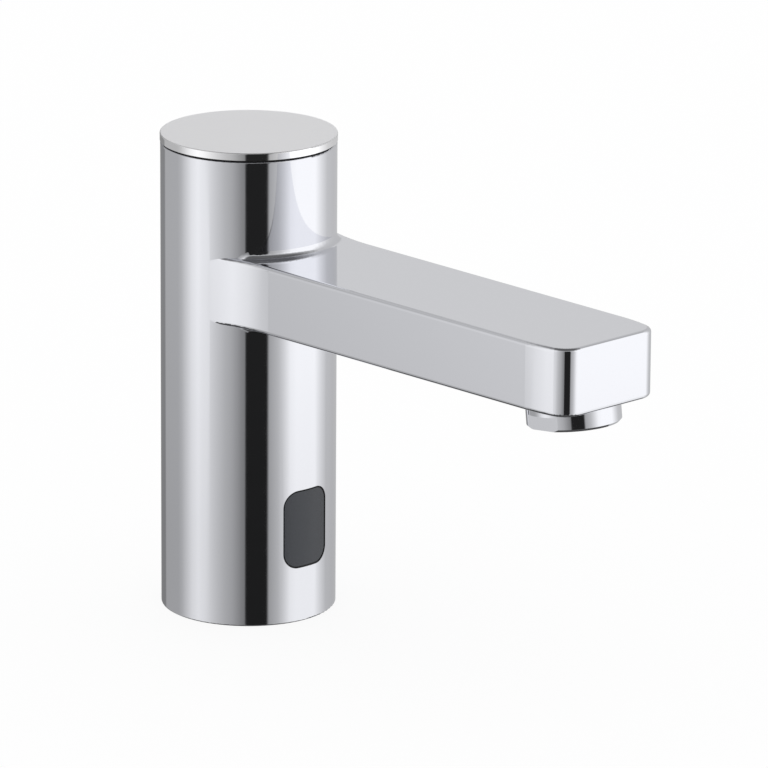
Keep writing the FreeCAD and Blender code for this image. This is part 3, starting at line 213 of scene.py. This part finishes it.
def chrome_plate():
    """Polished chromium plate: a neutral mirror, its gloss a little uneven."""
    material, tree, out = empty_material("polished_chrome_plate")
    place = add_node(tree, "ShaderNodeTexCoord")
    wave = add_node(tree, "ShaderNodeTexNoise", {}, {"Vector": place.outputs["Object"]},
                    {"Scale": 1 / polish_wave, "Detail": 1.0})
    bump = add_node(tree, "ShaderNodeBump", {}, {"Height": wave.outputs["Fac"]},
                    {"Distance": polish_depth, "Strength": 1.0})
    marks = add_node(tree, "ShaderNodeTexNoise", {}, {"Vector": place.outputs["Object"]},
                     {"Scale": 1 / wipe_mark, "Detail": 3.0})
    gloss = add_node(tree, "ShaderNodeMapRange", {}, {"Value": marks.outputs["Fac"]},
                     {"From Min": 0.3, "From Max": 0.7, "To Min": least_roughness,
                      "To Max": most_roughness})
    shader = add_node(tree, "ShaderNodeBsdfPrincipled", {},
                      {"Normal": bump.outputs["Normal"], "Roughness": gloss.outputs["Result"]},
                      {"Base Color": linear(chrome_colour), "Metallic": 1.0})
    tree.links.new(shader.outputs[0], out.inputs["Surface"])
    return material


def dress(material, *nodes):
    """Gives CAD nodes their finished material."""
    for node in nodes:
        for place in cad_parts[node].material_slots:
            place.material = material


polished_chrome_plate = chrome_plate()
dress(polished_chrome_plate, "tap_body", "aerator_housing")


# ---------------------------------------------------------------- lid
# Turned brass disc, blasted with fine glass bead before plating, so it is satin on top.
lid_top = cad_high.z
lid_round = 0.2 * MM
lid_colour = "#FCFCFE"
bead_mark = 0.35 * MM
bead_depth = 0.01 * MM
rim_roughness = 0.06
blasted_roughness = 0.36


def lid_plate():
    """Chromium plate, satin on the blasted top and polished on the turned rim."""
    material, tree, out = empty_material("satin_chrome_plate")
    place = add_node(tree, "ShaderNodeTexCoord")
    height = add_node(tree, "ShaderNodeSeparateXYZ", {}, {"Vector": place.outputs["Object"]})
    blasted = add_node(tree, "ShaderNodeMath", {"operation": "GREATER_THAN"}, {0: height.outputs["Z"]},
                       {1: lid_top - lid_round})
    grain = add_node(tree, "ShaderNodeTexNoise", {}, {"Vector": place.outputs["Object"]},
                     {"Scale": 1 / bead_mark, "Detail": 2.0})
    depth = add_node(tree, "ShaderNodeMath", {"operation": "MULTIPLY"},
                     {0: grain.outputs["Fac"], 1: blasted.outputs[0]})
    bump = add_node(tree, "ShaderNodeBump", {}, {"Height": depth.outputs[0]},
                    {"Distance": bead_depth, "Strength": 0.5})
    gloss = add_node(tree, "ShaderNodeMapRange", {}, {"Value": blasted.outputs[0]},
                     {"To Min": rim_roughness, "To Max": blasted_roughness})
    shader = add_node(tree, "ShaderNodeBsdfPrincipled", {},
                      {"Normal": bump.outputs["Normal"], "Roughness": gloss.outputs["Result"]},
                      {"Base Color": linear(lid_colour), "Metallic": 1.0})
    tree.links.new(shader.outputs[0], out.inputs["Surface"])
    return material


dress(lid_plate(), "top_cap")


# ---------------------------------------------------------------- rubber
# Moulded black nitrile: seals, rings and washers, dull with a faint bloom.
def plain_solid(name, hex_colour, roughness, grain_size, grain_depth, shade=0.85, metallic=0.0, **more):
    """Solid with a slightly mottled colour and a fine grain of a real size."""
    material, tree, out = empty_material(name)
    place = add_node(tree, "ShaderNodeTexCoord")
    grain = add_node(tree, "ShaderNodeTexNoise", {}, {"Vector": place.outputs["Object"]},
                     {"Scale": 1 / grain_size, "Detail": 3.0})
    colour = linear(hex_colour)
    dark = [c * shade for c in colour[:3]] + [1.0]
    tone = add_node(tree, "ShaderNodeValToRGB", {}, {"Fac": grain.outputs["Fac"]})
    set_ramp(tone, [(0.3, dark), (0.7, colour)])
    bump = add_node(tree, "ShaderNodeBump", {}, {"Height": grain.outputs["Fac"]},
                    {"Distance": grain_depth, "Strength": 0.6})
    values = {"Metallic": metallic, "Roughness": roughness}
    values.update(more)
    shader = add_node(tree, "ShaderNodeBsdfPrincipled", {},
                      {"Normal": bump.outputs["Normal"], "Base Color": tone.outputs["Color"]}, values)
    tree.links.new(shader.outputs[0], out.inputs["Surface"])
    return material


dress(plain_solid("black_nitrile_rubber", "#1B1B1D", 0.6, 0.6 * MM, 0.01 * MM),
      "cap_gasket", "window_gasket", "base_o_ring", "spigot_o_rings", "tube_o_rings",
      "diaphragm_membrane", "plunger_seal", "aerator_washer")


# ---------------------------------------------------------------- foam pad
# Open-cell polyurethane foam, glued under the lid, so it shows its pores.
foam_pore = 0.9 * MM


def foam():
    """Grey foam: cells pitted into the surface, with painted shade darkening their depth."""
    material, tree, out = empty_material("polyurethane_foam")
    place = add_node(tree, "ShaderNodeTexCoord")
    pores = add_node(tree, "ShaderNodeTexVoronoi", {}, {"Vector": place.outputs["Object"]},
                     {"Scale": 1 / foam_pore})
    # The ramp paints shade into the pores: each cell is darkest where it is deepest.
    tone = add_node(tree, "ShaderNodeValToRGB", {}, {"Fac": pores.outputs["Distance"]})
    set_ramp(tone, [(0.15, linear("#2E2F31")), (0.55, linear("#5A5B5E"))])
    bump = add_node(tree, "ShaderNodeBump", {}, {"Height": pores.outputs["Distance"]},
                    {"Distance": foam_pore / 3, "Strength": 0.8})
    shader = add_node(tree, "ShaderNodeBsdfPrincipled", {},
                      {"Normal": bump.outputs["Normal"], "Base Color": tone.outputs["Color"]},
                      {"Roughness": 0.95})
    tree.links.new(shader.outputs[0], out.inputs["Surface"])
    return material


dress(foam(), "cap_pad")


# ---------------------------------------------------------------- sensor window and its housing
# The pane is moulded acrylic, smoked so that only infrared passes, with a glossy face. The
# housing behind it and the battery's holder are moulded ABS with a spark-eroded grain.
dress(plain_solid("smoked_acrylic", "#33363C", 0.22, 4 * MM, 0.0005 * MM, 0.97, IOR=1.49),
      "sensor_window")
dress(plain_solid("moulded_abs", "#232426", 0.5, 0.35 * MM, 0.02 * MM),
      "sensor_housing", "battery_holder")


# ---------------------------------------------------------------- circuit boards
# Glass-epoxy laminate under green solder resist, with copper tracks that show through it
# as a lighter green pattern.
track_pitch = 1.27 * MM
track_length = 6 * MM
track_height = 0.03 * MM


def solder_resist():
    """Green resist over tracks: lighter where copper lies under it, and glossy."""
    material, tree, out = empty_material("green_solder_resist")
    place = add_node(tree, "ShaderNodeTexCoord")
    turned = add_node(tree, "ShaderNodeMapping", {}, {"Vector": place.outputs["Object"]},
                      {"Scale": (1 / track_pitch, 1 / track_length, 1 / track_pitch)})
    tracks = add_node(tree, "ShaderNodeTexVoronoi", {"distance": "CHEBYCHEV", "feature": "F1"},
                      {"Vector": turned.outputs[0]}, {"Scale": 1.0, "Randomness": 0.7})
    tone = add_node(tree, "ShaderNodeValToRGB", {}, {"Fac": tracks.outputs["Distance"]})
    set_ramp(tone, [(0.36, linear("#2E7A4B")), (0.42, linear("#145232"))])
    bump = add_node(tree, "ShaderNodeBump", {"invert": True}, {"Height": tone.outputs["Color"]},
                    {"Distance": track_height, "Strength": 0.5})
    shader = add_node(tree, "ShaderNodeBsdfPrincipled", {},
                      {"Normal": bump.outputs["Normal"], "Base Color": tone.outputs["Color"]},
                      {"Roughness": 0.28})
    tree.links.new(shader.outputs[0], out.inputs["Surface"])
    return material


dress(solder_resist(), "sensor_board", "control_board")


# ---------------------------------------------------------------- diodes
# Cast epoxy, tinted so dark a violet that it looks black until light passes through it.
dress(plain_solid("tinted_epoxy", "#1E1822", 0.12, 1.5 * MM, 0.002 * MM, 0.9, IOR=1.54,
                  **{"Coat Weight": 0.3}), "ir_emitter", "ir_receiver", "indicator_led")


# ---------------------------------------------------------------- turned metal pieces
# Brass is turned from bar, and steel is turned, rolled or drawn: each keeps rings round the
# axis it was turned on, drawn about 1 mm apart here, coarser than a real tool leaves them.
wave_length = 2 * math.pi / 20  # Blender's wave texture repeats after this much, over its scale
brass_rings = 1.0053 * MM
steel_rings = 0.754 * MM
stain_size = 5 * MM


def turned_metal(name, hex_colour, centre, roughness, ring_pitch, ring_depth, tarnish=0.85):
    """Metal with turning rings round an upright axis and a slightly uneven tone."""
    material, tree, out = empty_material(name)
    place = add_node(tree, "ShaderNodeTexCoord")
    centred = add_node(tree, "ShaderNodeMapping", {}, {"Vector": place.outputs["Object"]},
                       {"Location": (-centre[0], -centre[1], 0)})
    rings = add_node(tree, "ShaderNodeTexWave",
                     {"wave_type": "RINGS", "rings_direction": "Z", "wave_profile": "SIN"},
                     {"Vector": centred.outputs[0]},
                      {"Scale": wave_length / ring_pitch, "Distortion": 0.0})
    height = add_node(tree, "ShaderNodeTexWave",
                      {"wave_type": "BANDS", "bands_direction": "Z", "wave_profile": "SIN"},
                      {"Vector": centred.outputs[0]},
                      {"Scale": wave_length / ring_pitch, "Distortion": 0.0})
    cut = add_node(tree, "ShaderNodeMath", {"operation": "ADD"},
                   {0: rings.outputs["Fac"], 1: height.outputs["Fac"]})
    bump = add_node(tree, "ShaderNodeBump", {}, {"Height": cut.outputs[0]},
                    {"Distance": ring_depth, "Strength": 0.7})
    stain = add_node(tree, "ShaderNodeTexNoise", {}, {"Vector": place.outputs["Object"]},
                     {"Scale": 1 / stain_size, "Detail": 4.0})
    colour = linear(hex_colour)
    tone = add_node(tree, "ShaderNodeValToRGB", {}, {"Fac": stain.outputs["Fac"]})
    set_ramp(tone, [(0.35, [c * tarnish for c in colour[:3]] + [1.0]), (0.65, colour)])
    gloss = add_node(tree, "ShaderNodeMapRange", {}, {"Value": stain.outputs["Fac"]},
                     {"From Min": 0.3, "From Max": 0.7, "To Min": roughness, "To Max": roughness * 1.3})
    shader = add_node(tree, "ShaderNodeBsdfPrincipled", {},
                      {"Normal": bump.outputs["Normal"], "Base Color": tone.outputs["Color"],
                       "Roughness": gloss.outputs["Result"]}, {"Metallic": 1.0})
    tree.links.new(shader.outputs[0], out.inputs["Surface"])
    return material


def middle_of(node):
    """Middle of a node's box in plan."""
    low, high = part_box(node)
    return (low[0] + high[0]) / 2, (low[1] + high[1]) / 2


for node in ("base_plug", "inlet_barrel", "barrel_adaptor"):
    dress(turned_metal(f"turned_brass_{node}", "#D9B25F", middle_of(node), 0.24, brass_rings,
                       0.004 * MM), node)
for node in ("armature_tube", "fixed_core", "plunger", "coil_nut"):
    dress(turned_metal(f"turned_steel_{node}", "#B9B8B6", middle_of(node), 0.22, steel_rings,
                       0.003 * MM, 0.92), node)


# ---------------------------------------------------------------- screws, springs and sheet metal
# Stainless screws and springs are drawn or rolled and then tumbled. The yoke is zinc-plated
# sheet steel with its pale crystals, and the battery's contacts are nickel strip.
dress(plain_solid("tumbled_stainless_steel", "#BDBCBA", 0.26, 0.5 * MM, 0.004 * MM, 0.88, 1.0),
      "cap_screw", "sensor_screws", "valve_mount_screws", "cover_screws", "holder_screws",
      "plunger_spring", "check_valve_spring", "aerator_screen")
dress(plain_solid("zinc_plated_sheet", "#C4C8CC", 0.34, 1.8 * MM, 0.003 * MM, 0.86, 1.0), "coil_yoke")
dress(plain_solid("nickel_strip", "#CFC9BD", 0.24, 0.9 * MM, 0.002 * MM, 0.92, 1.0), "battery_contacts")


# ---------------------------------------------------------------- coil
# Enamelled copper wire, wound in layers on a glass-filled nylon bobbin, so turns show round
# the coil. The real wire is 0.14 mm thick. Its turns are drawn 2.2 mm apart here, far coarser.
wire_turns = 2.199 * MM
wire_groove = 0.0875 * MM


def wound_copper():
    """Amber enamel over copper in level turns, with painted shade in the grooves between them."""
    material, tree, out = empty_material("enamelled_copper_wire")
    place = add_node(tree, "ShaderNodeTexCoord")
    turns = add_node(tree, "ShaderNodeTexWave",
                     {"wave_type": "BANDS", "bands_direction": "Z", "wave_profile": "SIN"},
                     {"Vector": place.outputs["Object"]},
                     {"Scale": wave_length / wire_turns, "Distortion": 0.4})
    # The ramp paints shade into the grooves between turns and a lighter painted sheen on their crests.
    tone = add_node(tree, "ShaderNodeValToRGB", {}, {"Fac": turns.outputs["Fac"]})
    set_ramp(tone, [(0.1, linear("#5A2410")), (0.6, linear("#B5612C"))])
    bump = add_node(tree, "ShaderNodeBump", {}, {"Height": turns.outputs["Fac"]},
                    {"Distance": wire_groove, "Strength": 0.8})
    shader = add_node(tree, "ShaderNodeBsdfPrincipled", {},
                      {"Normal": bump.outputs["Normal"], "Base Color": tone.outputs["Color"]},
                      {"Metallic": 0.75, "Roughness": 0.3})
    tree.links.new(shader.outputs[0], out.inputs["Surface"])
    return material


dress(wound_copper(), "coil_winding")
dress(plain_solid("glass_filled_nylon", "#2A2B2A", 0.55, 0.5 * MM, 0.015 * MM, 0.7), "coil_bobbin")


# ---------------------------------------------------------------- water-way mouldings
# The valve, check valve, strainer and aerator insert are injection-moulded acetal: warm
# white, a little translucent and waxy. The outlet tube is extruded clear polyamide.
dress(plain_solid("moulded_acetal", "#E9E6DC", 0.38, 0.8 * MM, 0.006 * MM, 0.95,
                  **{"Subsurface Weight": 0.15, "Subsurface Scale": 0.8 * MM}),
      "valve_body", "valve_cover", "diaphragm_plate", "check_valve_body", "check_valve_poppet",
      "inlet_strainer", "aerator_insert")
dress(plain_solid("clear_polyamide_tube", "#DCE0DE", 0.25, 2 * MM, 0.004 * MM, 0.95,
                  **{"Subsurface Weight": 0.3, "Subsurface Scale": 1.5 * MM}), "outlet_tube")


# ---------------------------------------------------------------- battery
# Two lithium cells in one heat-shrunk sleeve of dull blue-grey film, which wrinkles
# slightly round the rims.
dress(plain_solid("shrunk_sleeve", "#3E5568", 0.42, 3.5 * MM, 0.08 * MM, 0.82, **{"Coat Weight": 0.25}),
      "battery")


# ---------------------------------------------------------------- leads
# Thin cables with an extruded PVC jacket, matt with faint drawing marks.
dress(plain_solid("pvc_jacket", "#2C2D30", 0.5, 0.7 * MM, 0.01 * MM), "sensor_lead", "valve_lead")
